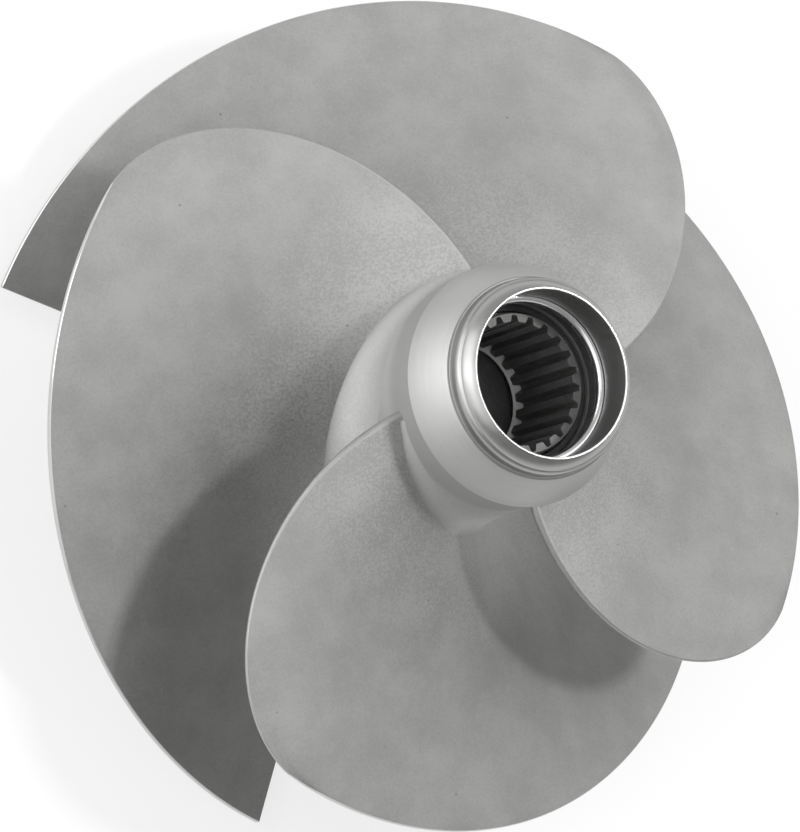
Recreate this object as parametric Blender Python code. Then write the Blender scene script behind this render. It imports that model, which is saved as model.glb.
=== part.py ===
"""Four-bladed jet-pump impeller with a splined hub, built nose up on its rear face."""
import math

import bmesh
import bpy
import numpy as np

# Overall sizes, in metres.
TIP_R = 0.0795
HUB_R = 0.0224
BLADE_RUN = 0.0557
NOSE_LEN = 0.0131
GAP = 0.0003

# Blades: how far each one winds round, and how it advances along the shaft.
BLADES = 4
WRAP = math.radians(148.4)
SWEEP = math.radians(50.5)
SWEEP_SHAPE = 1.336
SWEEP_POWER = 0.752
ENTRY_ADVANCE = 0.00615
EXIT_ADVANCE = 0.0318
RAKE_ENTRY = 0.18
RAKE_EXIT = 0.0146
ROOT_THICK = 0.0042
EDGE_THICK = 0.0013
TAIL_HEIGHT = 0.0037
WELD_LEG = 0.0045
WELD_END = 0.0012
WELD_GAP = 0.0005

# Nose: arched barrel, step, bead and coned rim round the mouth of the bore.
SHOULDER = 0.0050
BARREL_ARCH = 0.0006
RIM_WALL = 0.0029
RIM_STEP = 0.0004
RIM_LEN = 0.0049
BEAD_LEN = 0.0009
RIM_ARCH = 0.0004
LIP_WIDTH = 0.0006
MOUTH_BREAK = 0.0002

# Front socket: bore, spline with a boss at its mouth, seal in the trench, retaining ring.
BORE_R = 0.0154
SPLINE_TEETH = 23
SPLINE_PHASE = math.radians(1.3)
SPLINE_RISE = 0.0015
SPLINE_LEN = 0.0222
TOOTH_DEPTH = 0.0013
BOSS_WALL = 0.0008
BOSS_TAPER = 0.0002
TRENCH_WIDTH = 0.0019
TRENCH_DEPTH = 0.0040
SEAL_LEN = 0.0016
RING_WIRE_R = 0.0012
RING_RISE = 0.0031
RING_SINK = 0.0001
RING_OPENING = math.radians(28.0)
RING_MIDDLE = math.radians(185.0)

# Middle chamber and rear end.
CHAMBER_LEN = 0.0091
BUMPER_LEN = 0.0060
BUMPER_PLAY = 0.0004
BUMPER_EDGE = 0.0008
BUMPER_HOLE_R = 0.0025
INSERT_WALL = 0.0062
INSERT_LEAD = 0.0010
REAR_LEN = 0.0060
REAR_EDGE = 0.0006
PILOT_STEP = 0.0023
REAR_SEAL_R = 0.0011

# Facets.
TURNS = 48
CHORD_STEPS = 22
SPAN_STEPS = 8
RING_STEPS = 44
WIRE_SIDES = 8

# Heights worked out from the sizes above.
Z_LEAD = TAIL_HEIGHT + BLADE_RUN
Z_HUB_TOP = Z_LEAD + SHOULDER
Z_NOSE = Z_HUB_TOP + GAP
Z_TOP = Z_NOSE + NOSE_LEN
Z_SPLINE = Z_HUB_TOP + SPLINE_RISE
Z_TRENCH = Z_SPLINE - TRENCH_DEPTH
Z_RING = Z_SPLINE + RING_RISE
Z_SPLINE_END = Z_SPLINE - SPLINE_LEN
Z_SEAT = Z_SPLINE_END - GAP
Z_CHAMBER_END = Z_SEAT - CHAMBER_LEN
Z_INSERT_TOP = Z_CHAMBER_END - GAP

# Radii worked out from the bore and the hub.
ROOT_R = HUB_R + GAP
SOCKET_R = BORE_R - GAP
BOSS_R = BORE_R - TRENCH_WIDTH
SPLINE_MAJOR_R = BOSS_R - BOSS_WALL
SPLINE_MINOR_R = SPLINE_MAJOR_R - TOOTH_DEPTH
RING_R = BORE_R + RING_SINK
CHAMBER_R = SPLINE_MAJOR_R + 2.0 * GAP
INSERT_R = BORE_R
INSERT_SEAT_R = INSERT_R + GAP
INSERT_BORE_R = INSERT_R - INSERT_WALL
PILOT_R = INSERT_BORE_R + PILOT_STEP
REAR_SEAL_MIDDLE_R = 0.5 * (HUB_R + PILOT_R)


def clear_scene():
    """Remove whatever the file already holds."""
    for item in list(bpy.data.objects):
        bpy.data.objects.remove(item, do_unlink=True)


def finish(name, colour, metallic, roughness):
    """Make one plain material."""
    material = bpy.data.materials.new(name)
    material.use_nodes = True
    shader = material.node_tree.nodes["Principled BSDF"]
    shader.inputs["Base Color"].default_value = (*colour, 1.0)
    shader.inputs["Metallic"].default_value = metallic
    shader.inputs["Roughness"].default_value = roughness
    return material


def add_object(name, points, faces, material):
    """Put one closed mesh into the scene with its faces turned outward."""
    mesh = bpy.data.meshes.new(name)
    mesh.from_pydata([tuple(p) for p in points], [], faces)
    work = bmesh.new()
    work.from_mesh(mesh)
    bmesh.ops.recalc_face_normals(work, faces=work.faces)
    work.to_mesh(mesh)
    work.free()
    mesh.materials.append(material)
    mesh.shade_smooth()
    mesh.set_sharp_from_angle(angle=math.radians(35.0))
    item = bpy.data.objects.new(name, mesh)
    bpy.context.collection.objects.link(item)
    return item


def grid_faces(rows, columns, wrap_rows, wrap_columns):
    """Quads of a grid of points stored row by row."""
    faces = []
    for i in range(rows if wrap_rows else rows - 1):
        for j in range(columns if wrap_columns else columns - 1):
            a = i * columns + j
            b = i * columns + (j + 1) % columns
            c = ((i + 1) % rows) * columns + (j + 1) % columns
            d = ((i + 1) % rows) * columns + j
            faces.append((a, b, c, d))
    return faces


def turned(name, profile, material):
    """Turn a closed outline of (radius, height) points about the shaft axis."""
    points = []
    for i in range(TURNS):
        angle = 2.0 * math.pi * i / TURNS
        for radius, height in profile:
            points.append((radius * math.cos(angle), radius * math.sin(angle), height))
    return add_object(name, points, grid_faces(TURNS, len(profile), True, True), material)


def arc(centre, radius, start, end, steps):
    """Points of an arc in the (radius, height) plane, angles in degrees."""
    points = []
    for i in range(steps + 1):
        angle = math.radians(start + (end - start) * i / steps)
        points.append((centre[0] + radius * math.cos(angle), centre[1] + radius * math.sin(angle)))
    return points


def bulge(start, end, height, steps):
    """Points of a shallow arch from start to end, pushed out by height in its middle."""
    run = (end[0] - start[0], end[1] - start[1])
    length = math.hypot(run[0], run[1])
    out = (run[1] / length, -run[0] / length)
    points = []
    for i in range(steps + 1):
        part = i / steps
        lift = 4.0 * height * part * (1.0 - part)
        points.append((start[0] + run[0] * part + out[0] * lift, start[1] + run[1] * part + out[1] * lift))
    return points


def lead_radius(u):
    """Radius of the swept leading edge, u running from the root (0) to the tip circle (1)."""
    return ROOT_R + (TIP_R - ROOT_R) * np.sin(0.5 * np.pi * u ** SWEEP_SHAPE) ** SWEEP_POWER


def lead_place(radius):
    """Place u on the leading edge for a radius: the reverse of lead_radius."""
    share = np.clip((radius - ROOT_R) / (TIP_R - ROOT_R), 0.0, 1.0)
    return (2.0 / np.pi * np.arcsin(share ** (1.0 / SWEEP_POWER))) ** (1.0 / SWEEP_SHAPE)


def blade_height(turn, radius):
    """Height of the blade's middle surface: a root helix that steepens, plus backward rake."""
    part = turn / WRAP
    entry = ENTRY_ADVANCE * WRAP
    leave = EXIT_ADVANCE * WRAP
    fall = entry * part
    fall = fall + (3.0 * BLADE_RUN - 2.0 * entry - leave) * part ** 2
    fall = fall + (entry + leave - 2.0 * BLADE_RUN) * part ** 3
    rake = RAKE_ENTRY + (RAKE_EXIT - RAKE_ENTRY) * part
    return Z_LEAD - fall - rake * (radius - ROOT_R)


def blade_face(u, w, side):
    """Radius, angle and height of a blade face: side is 1 on the intake side and -1 behind."""
    radius = lead_radius(u)
    turn = SWEEP * u + w * (WRAP - SWEEP * u)
    step = 1e-4
    slope = (blade_height(turn + step, radius) - blade_height(turn - step, radius)) / (2.0 * step)
    lean = RAKE_ENTRY + (RAKE_EXIT - RAKE_ENTRY) * turn / WRAP
    length = np.hypot(radius, slope)
    tilt = np.sqrt(1.0 + (lean * radius / length) ** 2)
    body = (4.0 * w * (1.0 - w)) ** 0.7
    thick = EDGE_THICK + (ROOT_THICK - EDGE_THICK) * (1.0 - u) ** 1.2 * body
    push = 0.5 * side * thick * tilt
    return radius, turn - push * slope / (length * radius), blade_height(turn, radius) + push * radius / length


def place(radius, angle, height):
    """Points in space from radius, angle and height."""
    return np.stack([radius * np.cos(angle), radius * np.sin(angle), height], axis=-1)


def add_blade(name, start, material):
    """One blade: two faces on the same grid, closed by strips round the edge."""
    rows = SPAN_STEPS + 1
    columns = CHORD_STEPS + 1
    u = np.linspace(0.0, 1.0, rows)[:, None] + np.zeros((rows, columns))
    w = np.linspace(0.0, 1.0, columns)[None, :] + np.zeros((rows, columns))
    points = []
    for side in (1.0, -1.0):
        radius, angle, height = blade_face(u, w, side)
        points.append(place(radius, angle + start, height).reshape(-1, 3))
    count = rows * columns
    upper = grid_faces(rows, columns, False, False)
    faces = list(upper)
    for face in upper:
        faces.append(tuple(count + k for k in reversed(face)))
    edge = [j for j in range(columns)]
    edge += [i * columns + columns - 1 for i in range(1, rows)]
    edge += [(rows - 1) * columns + j for j in range(columns - 2, -1, -1)]
    edge += [i * columns for i in range(rows - 2, 0, -1)]
    for k in range(len(edge)):
        a = edge[k]
        b = edge[(k + 1) % len(edge)]
        faces.append((b, a, count + a, count + b))
    return add_object(name, np.concatenate(points), faces, material)


def add_weld(name, start, side, material):
    """Fillet between a blade face and the hub, tapering at both ends of the root."""
    w = np.linspace(0.02, 0.98, CHORD_STEPS - 1)
    leg = WELD_END + (WELD_LEG - WELD_END) * np.minimum(1.0, 7.0 * w * (1.0 - w))
    zero = np.zeros_like(w)
    radius, angle, height = blade_face(zero, w, side)
    along_angle = np.gradient(angle)
    along_height = np.gradient(height)
    length = np.hypot(radius * along_angle, along_height)
    out_angle = -side * along_height / (length * radius)
    out_height = side * radius * along_angle / length
    foot = ROOT_R + zero
    section = []
    section.append(place(foot, angle + WELD_GAP * out_angle + start, height + WELD_GAP * out_height))
    section.append(place(foot, angle + leg * out_angle + start, height + leg * out_height))
    for rise, reach in ((0.14, 0.50), (0.50, 0.14)):
        lift = foot + leg * rise
        base = blade_face(lead_place(lift), w, side)
        out = WELD_GAP + leg * reach
        section.append(place(lift, base[1] + out * out_angle + start, base[2] + out * out_height))
    lift = foot + leg
    base = blade_face(lead_place(lift), w, side)
    section.append(place(lift, base[1] + WELD_GAP * out_angle + start, base[2] + WELD_GAP * out_height))
    points = np.stack(section, axis=1)
    rows, columns = points.shape[:2]
    faces = grid_faces(rows, columns, False, True)
    faces.append(tuple(range(columns)))
    faces.append(tuple((rows - 1) * columns + j for j in reversed(range(columns))))
    return add_object(name, points.reshape(-1, 3), faces, material)


def add_spline_sleeve(name, material):
    """Sleeve with straight inner teeth and a boss at its mouth, inside the seal trench."""
    shares = ((0.00, 1.0), (0.13, 0.9), (0.29, 0.0), (0.50, 0.0), (0.71, 0.0), (0.87, 0.9))
    bore = []
    ways = []
    for tooth in range(SPLINE_TEETH):
        for share, depth in shares:
            angle = SPLINE_PHASE + 2.0 * math.pi * (tooth + share) / SPLINE_TEETH
            ways.append((math.cos(angle), math.sin(angle)))
            bore.append(SPLINE_MINOR_R + TOOTH_DEPTH * depth)
    count = len(ways)
    rings = [(bore, Z_SPLINE)]
    rings.append(([BOSS_R - BOSS_TAPER] * count, Z_SPLINE))
    rings.append(([BOSS_R] * count, Z_TRENCH))
    rings.append(([SOCKET_R] * count, Z_TRENCH))
    rings.append(([SOCKET_R] * count, Z_SPLINE_END))
    rings.append((bore, Z_SPLINE_END))
    points = []
    for radii, height in rings:
        for (x, y), radius in zip(ways, radii):
            points.append((radius * x, radius * y, height))
    return add_object(name, points, grid_faces(len(rings), count, True, True), material)


def add_retaining_ring(name, material):
    """Round-wire ring with an opening, sprung into the groove of the nose."""
    section = arc((RING_R, Z_RING), RING_WIRE_R, 0.0, 360.0 - 360.0 / WIRE_SIDES, WIRE_SIDES - 1)
    points = []
    for i in range(RING_STEPS + 1):
        turn = RING_MIDDLE + 0.5 * RING_OPENING + (2.0 * math.pi - RING_OPENING) * i / RING_STEPS
        for radius, height in section:
            points.append((radius * math.cos(turn), radius * math.sin(turn), height))
    faces = grid_faces(RING_STEPS + 1, WIRE_SIDES, False, True)
    faces.append(tuple(range(WIRE_SIDES)))
    faces.append(tuple(RING_STEPS * WIRE_SIDES + j for j in reversed(range(WIRE_SIDES))))
    return add_object(name, points, faces, material)


def hub_outline():
    """Cast hub: outer barrel, socket, seat, bumper chamber and the insert's seat."""
    bottom = REAR_LEN + GAP
    return [
        (HUB_R, bottom),
        (HUB_R, Z_HUB_TOP),
        (BORE_R, Z_HUB_TOP),
        (BORE_R, Z_SEAT),
        (CHAMBER_R, Z_SEAT),
        (CHAMBER_R, Z_CHAMBER_END),
        (INSERT_SEAT_R, Z_CHAMBER_END),
        (INSERT_SEAT_R, bottom),
    ]


def nose_outline():
    """Turned nose: arched barrel, step, bead, coned rim, mouth, ring groove and bore."""
    rim_r = BORE_R + RIM_WALL
    rim_z = Z_TOP - RIM_LEN
    lip_r = BORE_R + MOUTH_BREAK
    groove_r = RING_R + RING_WIRE_R + GAP
    groove_half = RING_WIRE_R + GAP
    outline = bulge((ROOT_R, Z_NOSE), (rim_r + RIM_STEP, rim_z - RIM_STEP), BARREL_ARCH, 6)
    outline += [(rim_r, rim_z)]
    outline += bulge((rim_r, rim_z + BEAD_LEN), (lip_r + LIP_WIDTH, Z_TOP), RIM_ARCH, 3)
    outline += [(lip_r, Z_TOP)]
    outline += [(BORE_R, Z_TOP - MOUTH_BREAK)]
    outline += [(BORE_R, Z_RING + groove_half)]
    outline += [(groove_r, Z_RING + groove_half)]
    outline += [(groove_r, Z_RING - groove_half)]
    outline += [(BORE_R, Z_RING - groove_half)]
    outline += [(BORE_R, Z_NOSE)]
    return outline


def shaft_seal_outline():
    """Rubber seal of the drive shaft, in the trench round the spline's boss."""
    low = Z_TRENCH + GAP
    inner = BOSS_R + GAP
    return [
        (inner, low),
        (SOCKET_R, low),
        (SOCKET_R, low + SEAL_LEN),
        (inner, low + SEAL_LEN),
    ]


def bumper_outline():
    """Rubber puck for the end of the drive shaft, with a vent hole."""
    low = Z_INSERT_TOP + GAP
    high = low + BUMPER_LEN
    radius = CHAMBER_R - BUMPER_PLAY
    return [
        (BUMPER_HOLE_R, low),
        (radius - BUMPER_EDGE, low),
        (radius, low + BUMPER_EDGE),
        (radius, high - BUMPER_EDGE),
        (radius - BUMPER_EDGE, high),
        (BUMPER_HOLE_R, high),
    ]


def insert_outline():
    """Threaded insert for the pump shaft, drawn at the thread's inner diameter."""
    low = REAR_LEN + GAP
    return [
        (INSERT_BORE_R + INSERT_LEAD, low),
        (INSERT_R, low),
        (INSERT_R, Z_INSERT_TOP),
        (INSERT_BORE_R + INSERT_LEAD, Z_INSERT_TOP),
        (INSERT_BORE_R, Z_INSERT_TOP - INSERT_LEAD),
        (INSERT_BORE_R, low + INSERT_LEAD),
    ]


def rear_outline():
    """Turned rear ring: seat face, pilot bore and the groove of the rear seal."""
    half = REAR_SEAL_R + GAP
    return [
        (HUB_R - REAR_EDGE, 0.0),
        (HUB_R, REAR_EDGE),
        (HUB_R, REAR_LEN),
        (PILOT_R, REAR_LEN),
        (PILOT_R, REAR_EDGE),
        (PILOT_R + REAR_EDGE, 0.0),
        (REAR_SEAL_MIDDLE_R - half, 0.0),
        (REAR_SEAL_MIDDLE_R - half, 2.0 * half),
        (REAR_SEAL_MIDDLE_R + half, 2.0 * half),
        (REAR_SEAL_MIDDLE_R + half, 0.0),
    ]


def rear_seal_outline():
    """Round section of the rear seal."""
    return arc((REAR_SEAL_MIDDLE_R, REAR_SEAL_R + GAP), REAR_SEAL_R, 0.0, 315.0, 7)


def main():
    """Build every piece in its place."""
    clear_scene()
    cast = finish("cast stainless steel", (0.42, 0.42, 0.42), 1.0, 0.45)
    weld = finish("ground weld", (0.46, 0.46, 0.46), 1.0, 0.40)
    turned_steel = finish("turned stainless steel", (0.58, 0.58, 0.58), 1.0, 0.25)
    spline_steel = finish("broached steel", (0.30, 0.30, 0.30), 1.0, 0.40)
    spring_steel = finish("spring steel", (0.60, 0.60, 0.60), 1.0, 0.18)
    insert_steel = finish("insert steel", (0.35, 0.35, 0.35), 1.0, 0.35)
    rubber = finish("nitrile rubber", (0.03, 0.03, 0.03), 0.0, 0.70)

    turned("hub_shell", hub_outline(), cast)
    turned("nose_collar", nose_outline(), turned_steel)
    turned("rear_ring", rear_outline(), turned_steel)
    turned("thread_insert", insert_outline(), insert_steel)
    turned("shaft_bumper", bumper_outline(), rubber)
    turned("shaft_seal", shaft_seal_outline(), rubber)
    turned("rear_seal", rear_seal_outline(), rubber)
    add_spline_sleeve("spline_sleeve", spline_steel)
    add_retaining_ring("retaining_ring", spring_steel)
    for k in range(BLADES):
        start = 2.0 * math.pi * k / BLADES
        add_blade("blade_%d" % (k + 1), start, cast)
        add_weld("blade_%d_front_weld" % (k + 1), start, 1.0, weld)
        add_weld("blade_%d_rear_weld" % (k + 1), start, -1.0, weld)


main()
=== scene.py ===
"""Looks of a four-bladed jet-pump impeller: fine surfaces, finishes, studio and camera."""

import logging
import math
from dataclasses import dataclass, field, replace
from enum import Enum
from typing import Sequence

import bpy
import numpy as np
from mathutils import Matrix, Vector


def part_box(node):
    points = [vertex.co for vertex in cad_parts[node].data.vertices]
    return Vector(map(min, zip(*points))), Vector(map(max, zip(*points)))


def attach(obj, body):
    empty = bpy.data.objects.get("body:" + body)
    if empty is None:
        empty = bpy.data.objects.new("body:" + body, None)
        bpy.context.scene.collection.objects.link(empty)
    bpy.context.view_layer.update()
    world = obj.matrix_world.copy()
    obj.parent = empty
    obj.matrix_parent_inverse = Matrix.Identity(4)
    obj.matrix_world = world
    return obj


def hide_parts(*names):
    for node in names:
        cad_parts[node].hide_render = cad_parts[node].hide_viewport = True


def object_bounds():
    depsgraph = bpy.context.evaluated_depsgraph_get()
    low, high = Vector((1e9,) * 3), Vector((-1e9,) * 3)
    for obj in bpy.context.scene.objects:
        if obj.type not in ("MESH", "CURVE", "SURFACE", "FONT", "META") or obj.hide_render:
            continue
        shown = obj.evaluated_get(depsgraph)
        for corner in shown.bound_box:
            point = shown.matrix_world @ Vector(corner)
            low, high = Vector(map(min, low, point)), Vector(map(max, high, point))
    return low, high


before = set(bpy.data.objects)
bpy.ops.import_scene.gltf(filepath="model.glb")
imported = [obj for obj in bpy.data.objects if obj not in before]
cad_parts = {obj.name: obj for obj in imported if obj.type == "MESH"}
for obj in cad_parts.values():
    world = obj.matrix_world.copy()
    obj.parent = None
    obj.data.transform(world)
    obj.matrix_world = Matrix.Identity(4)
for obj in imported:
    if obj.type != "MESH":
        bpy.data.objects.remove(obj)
CAD_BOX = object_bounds()

log = logging.getLogger("impeller")
logging.basicConfig(level=logging.INFO, format="%(message)s")

Array = np.ndarray
Pair = tuple[float, float]
Triple = tuple[float, float, float]
Points = tuple[Pair, ...]
Outline = list[Pair]
Piece = bpy.types.Object
Tree = bpy.types.NodeTree
Socket = bpy.types.NodeSocket

MM = 0.001
PER_METRE = 1.0 / MM
FULL_TURN = 2.0 * math.pi
QUARTER_TURN = 0.5 * math.pi
ROTOR = "rotor"
BUMPER = "bumper"
BLADES = 4
WIRE_SIDES = 24
SHARP_EDGE = math.radians(38.0)
# Most of an edge that the rounding of one corner may take
CORNER_SHARE = 0.45

# Colour sockets of the Mix node: two inputs and the result
MIX_FIRST, MIX_SECOND, MIX_RESULT = 6, 7, 2

# Patterns that the finishes share; a window is the stretch of a noise that is spread out
NOISE_ROUGHNESS = 0.6
CLOUD_OCTAVES = 4.0
GRIT_OCTAVES = 3.0
TONE_WINDOW = (0.2, 0.8)
GRIT_WINDOW = (0.3, 0.7)
LINE_GAIN = 0.5
LINE_STRETCH = 60.0
BUMP_STRENGTH = 0.5
SKIN_MM = (25.0, 48.0)
SCRATCH_MM = 0.8
SCRATCH_STRETCH = 40.0
SCRATCH_TURN = 0.7
SCRATCH_WINDOW = (0.66, 0.76)
SCRATCH_COLOUR = "#e4e4e3"
PIT_CELL_MM = 9.0
PIT_WINDOW = (0.012, 0.035)
PIT_COLOUR = "#3c3c3c"


def linear(hex_colour: str) -> tuple[float, float, float, float]:
    """Turn an sRGB hex colour into linear red, green, blue and an alpha of one."""
    parts = [int(hex_colour[i:i + 2], 16) / 255.0 for i in (1, 3, 5)]
    return (*[c / 12.92 if c <= 0.04045 else ((c + 0.055) / 1.055) ** 2.4 for c in parts], 1.0)


def add_node(tree: Tree, kind: str, settings: dict | None = None, links: dict | None = None,
             out: int | str = 0) -> Socket | None:
    """Add one node with its settings and links.

    Args:
        tree: The node tree that gets it.
        kind: Blender's name of the node type, without ShaderNode before it.
        settings: Values by socket name or number, or by property name.
        links: Source sockets by the name or number of this node's input.
        out: Name or number of the output that is wanted.

    Returns:
        That output, or None from a node that has no outputs.
    """
    node = tree.nodes.new("ShaderNode" + kind)
    for key, value in (settings or {}).items():
        if isinstance(key, str) and hasattr(node, key):
            setattr(node, key, value)
        else:
            node.inputs[key].default_value = value
    for key, source in (links or {}).items():
        tree.links.new(source, node.inputs[key])
    return node.outputs[out] if node.outputs else None


def blank_tree(owner: bpy.types.Material | bpy.types.World) -> Tree:
    """Switch nodes on and clear them.

    Args:
        owner: A new material or world.

    Returns:
        Its empty node tree.
    """
    owner.use_nodes = True
    owner.node_tree.nodes.clear()
    return owner.node_tree


def put_in_scene(name: str, data: bpy.types.ID) -> bpy.types.Object:
    """Make an object and link it to the scene.

    Args:
        name: The object's name.
        data: Its mesh, camera or lamp.

    Returns:
        The object.
    """
    made = bpy.data.objects.new(name, data)
    bpy.context.scene.collection.objects.link(made)
    return made


class Slot(Enum):
    """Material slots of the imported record."""

    CAST = "cast_stainless"
    WELD = "weld_metal"
    TURNED = "turned_stainless"
    SPLINE = "spline_steel"
    SPRING = "spring_steel"
    INSERT = "insert_steel"
    RUBBER = "black_rubber"


class Grain(Enum):
    """Which way the fine marks of a machined face run."""

    NONE = "no marks"
    TURNED = "lathe rings"
    ALONG = "lines along the shaft"


class Along(Enum):
    """What a fade runs along."""

    RADIUS = "distance from the shaft axis"
    HEIGHT = "height over the rear seat"


def shaft_distance(tree: Tree, place: Socket) -> Socket:
    """Distance of object coordinates from the shaft axis, in metres."""
    flat = add_node(tree, "VectorMath", {"operation": "MULTIPLY", 1: (1.0, 1.0, 0.0)}, {0: place})
    return add_node(tree, "VectorMath", {"operation": "LENGTH"}, {0: flat}, "Value")


def add_centred(tree: Tree, tone: float | Socket, source: Socket, gain: float | Socket) -> Socket:
    """Add a value's distance from one half, times a gain, to a tone.

    Args:
        tree: The material's tree.
        tone: The tone so far, a number or a socket.
        source: The value around one half.
        gain: A factor, a number or a socket.

    Returns:
        The new tone.
    """
    off = add_node(tree, "Math", {"operation": "SUBTRACT", 1: 0.5}, {0: source})
    settings = {"operation": "MULTIPLY_ADD"}
    links = {0: off}
    for number, value in ((1, gain), (2, tone)):
        (settings if isinstance(value, float) else links)[number] = value
    return add_node(tree, "Math", settings, links)


@dataclass(frozen=True)
class Fade:
    """Gain of the colour that goes smoothly from one value to another over a stretch of the part."""

    along: Along
    stretch_mm: Pair
    gain: Pair

    def applied(self, tree: Tree, place: Socket, colour: Socket) -> Socket:
        """Scale a colour by the gain at its place.

        Args:
            tree: The material's tree.
            place: Object coordinates.
            colour: The colour so far.

        Returns:
            The scaled colour.
        """
        if self.along is Along.RADIUS:
            measure = shaft_distance(tree, place)
        else:
            measure = add_node(tree, "SeparateXYZ", None, {0: place}, "Z")
        gain = add_node(tree, "MapRange",
                        {"interpolation_type": "SMOOTHSTEP",
                         "From Min": self.stretch_mm[0] * MM, "From Max": self.stretch_mm[1] * MM,
                         "To Min": self.gain[0], "To Max": self.gain[1]}, {"Value": measure})
        return add_node(tree, "VectorMath", {"operation": "SCALE"}, {0: colour, "Scale": gain})


@dataclass(frozen=True)
class Finish:
    """One real surface: its base, its spread of tone and its fine relief.

    Tone and relief come from noise in the object's own millimetres, so they keep their size on
    every piece. Grain adds lathe rings (lines of constant height) or drawn lines along the shaft.
    Skin makes the grit stronger near the hub, where a casting is dressed less. Fades make the
    colour lighter or darker along the radius or the height; most of them here are painted light
    and shade.
    """

    name: str
    slot: Slot
    light: str
    dark: str
    rough: Pair
    cloud_mm: float
    cloud_gain: float = 0.8
    grit_mm: float = 0.5
    grit_gain: float = 0.9
    relief_mm: float = 0.01
    metallic: float = 1.0
    grain: Grain = Grain.NONE
    grain_mm: float = 0.4
    pits: float = 0.0
    skin: float = 0.0
    scratches: float = 0.0
    fades: tuple[Fade, ...] = ()

    def material(self) -> bpy.types.Material:
        """Build the node material, or find it if it is already there.

        Returns:
            The material, ready for a slot.
        """
        found = bpy.data.materials.get(self.name)
        if found is not None:
            return found
        made = bpy.data.materials.new(self.name)
        tree = blank_tree(made)
        place = add_node(tree, "TexCoord", out="Object")
        cloud, grit = [add_node(tree, "TexNoise",
                                {"Scale": PER_METRE / size_mm, "Detail": octaves,
                                 "Roughness": NOISE_ROUGHNESS}, {"Vector": place})
                       for size_mm, octaves in ((self.cloud_mm, CLOUD_OCTAVES),
                                                (self.grit_mm, GRIT_OCTAVES))]
        lines = self._lines(tree, place)
        tone = self._toned(tree, place, cloud, grit)
        if lines is not None:
            tone = add_centred(tree, tone, lines, LINE_GAIN)
        mixed = add_node(tree, "MapRange", {"From Min": TONE_WINDOW[0], "From Max": TONE_WINDOW[1]},
                         {"Value": tone})
        colour = add_node(tree, "Mix",
                          {"data_type": "RGBA", MIX_FIRST: linear(self.dark),
                           MIX_SECOND: linear(self.light)}, {0: mixed}, MIX_RESULT)
        if self.scratches > 0.0:
            colour = self._scratched(tree, place, colour)
        if self.pits > 0.0:
            colour = self._pitted(tree, place, colour)
        for fade in self.fades:
            colour = fade.applied(tree, place, colour)
        rough = add_node(tree, "MapRange",
                         {"From Min": GRIT_WINDOW[0], "From Max": GRIT_WINDOW[1],
                          "To Min": self.rough[0], "To Max": self.rough[1]}, {"Value": grit})
        bump = add_node(tree, "Bump", {"Strength": BUMP_STRENGTH, "Distance": self.relief_mm * MM},
                        {"Height": grit if lines is None else lines})
        shader = add_node(tree, "BsdfPrincipled", {"Metallic": self.metallic},
                          {"Base Color": colour, "Roughness": rough, "Normal": bump})
        add_node(tree, "OutputMaterial", None, {"Surface": shader})
        return made

    def _toned(self, tree: Tree, place: Socket, cloud: Socket, grit: Socket) -> Socket:
        """Broad tone with grit on it; the grit's gain falls off away from the shaft where skin is set.

        Args:
            tree: The material's tree.
            place: Object coordinates.
            cloud: Broad noise.
            grit: Fine noise.

        Returns:
            The tone, around one half.
        """
        gain: float | Socket = self.grit_gain
        if self.skin > 0.0:
            gain = add_node(tree, "MapRange",
                            {"From Min": SKIN_MM[0] * MM, "From Max": SKIN_MM[1] * MM,
                             "To Min": self.grit_gain + self.skin, "To Max": self.grit_gain},
                            {"Value": shaft_distance(tree, place)})
        return add_centred(tree, add_centred(tree, 0.5, cloud, self.cloud_gain), grit, gain)

    def _lines(self, tree: Tree, place: Socket) -> Socket | None:
        """Noise drawn out into lathe rings or lines along the shaft.

        Args:
            tree: The material's tree.
            place: Object coordinates.

        Returns:
            The line pattern, or None without grain.
        """
        if self.grain is Grain.NONE:
            return None
        fine = PER_METRE / self.grain_mm
        coarse = fine / LINE_STRETCH
        scale = (coarse, coarse, fine) if self.grain is Grain.TURNED else (fine, fine, coarse)
        stretched = add_node(tree, "Mapping", {"Scale": scale}, {"Vector": place})
        return add_node(tree, "TexNoise", {"Scale": 1.0}, {"Vector": stretched})

    def _scratched(self, tree: Tree, place: Socket, colour: Socket) -> Socket:
        """Brighten a few long thin handling marks: the peaks of noise drawn out one way.

        Args:
            tree: The material's tree.
            place: Object coordinates.
            colour: The colour so far.

        Returns:
            The colour with marks.
        """
        fine = PER_METRE / SCRATCH_MM
        coarse = fine / SCRATCH_STRETCH
        turned = add_node(tree, "Mapping",
                          {"Rotation": (0.0, 0.0, SCRATCH_TURN), "Scale": (fine, coarse, coarse)},
                          {"Vector": place})
        drawn = add_node(tree, "TexNoise", {"Scale": 1.0, "Detail": 1.0}, {"Vector": turned})
        mark = add_node(tree, "MapRange",
                        {"From Min": SCRATCH_WINDOW[0], "From Max": SCRATCH_WINDOW[1],
                         "To Max": self.scratches}, {"Value": drawn})
        return add_node(tree, "Mix", {"data_type": "RGBA", MIX_SECOND: linear(SCRATCH_COLOUR)},
                        {0: mark, MIX_FIRST: colour}, MIX_RESULT)

    def _pitted(self, tree: Tree, place: Socket, colour: Socket) -> Socket:
        """Darken small scattered casting pits, one to each cell of a pattern.

        Args:
            tree: The material's tree.
            place: Object coordinates.
            colour: The colour so far.

        Returns:
            The colour with pits.
        """
        cells = add_node(tree, "TexVoronoi", {"Scale": PER_METRE / PIT_CELL_MM}, {"Vector": place})
        pit = add_node(tree, "MapRange",
                       {"From Min": PIT_WINDOW[0], "From Max": PIT_WINDOW[1],
                        "To Min": self.pits, "To Max": 0.0}, {"Value": cells})
        return add_node(tree, "Mix", {"data_type": "RGBA", MIX_SECOND: linear(PIT_COLOUR)},
                        {0: pit, MIX_FIRST: colour}, MIX_RESULT)
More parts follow.
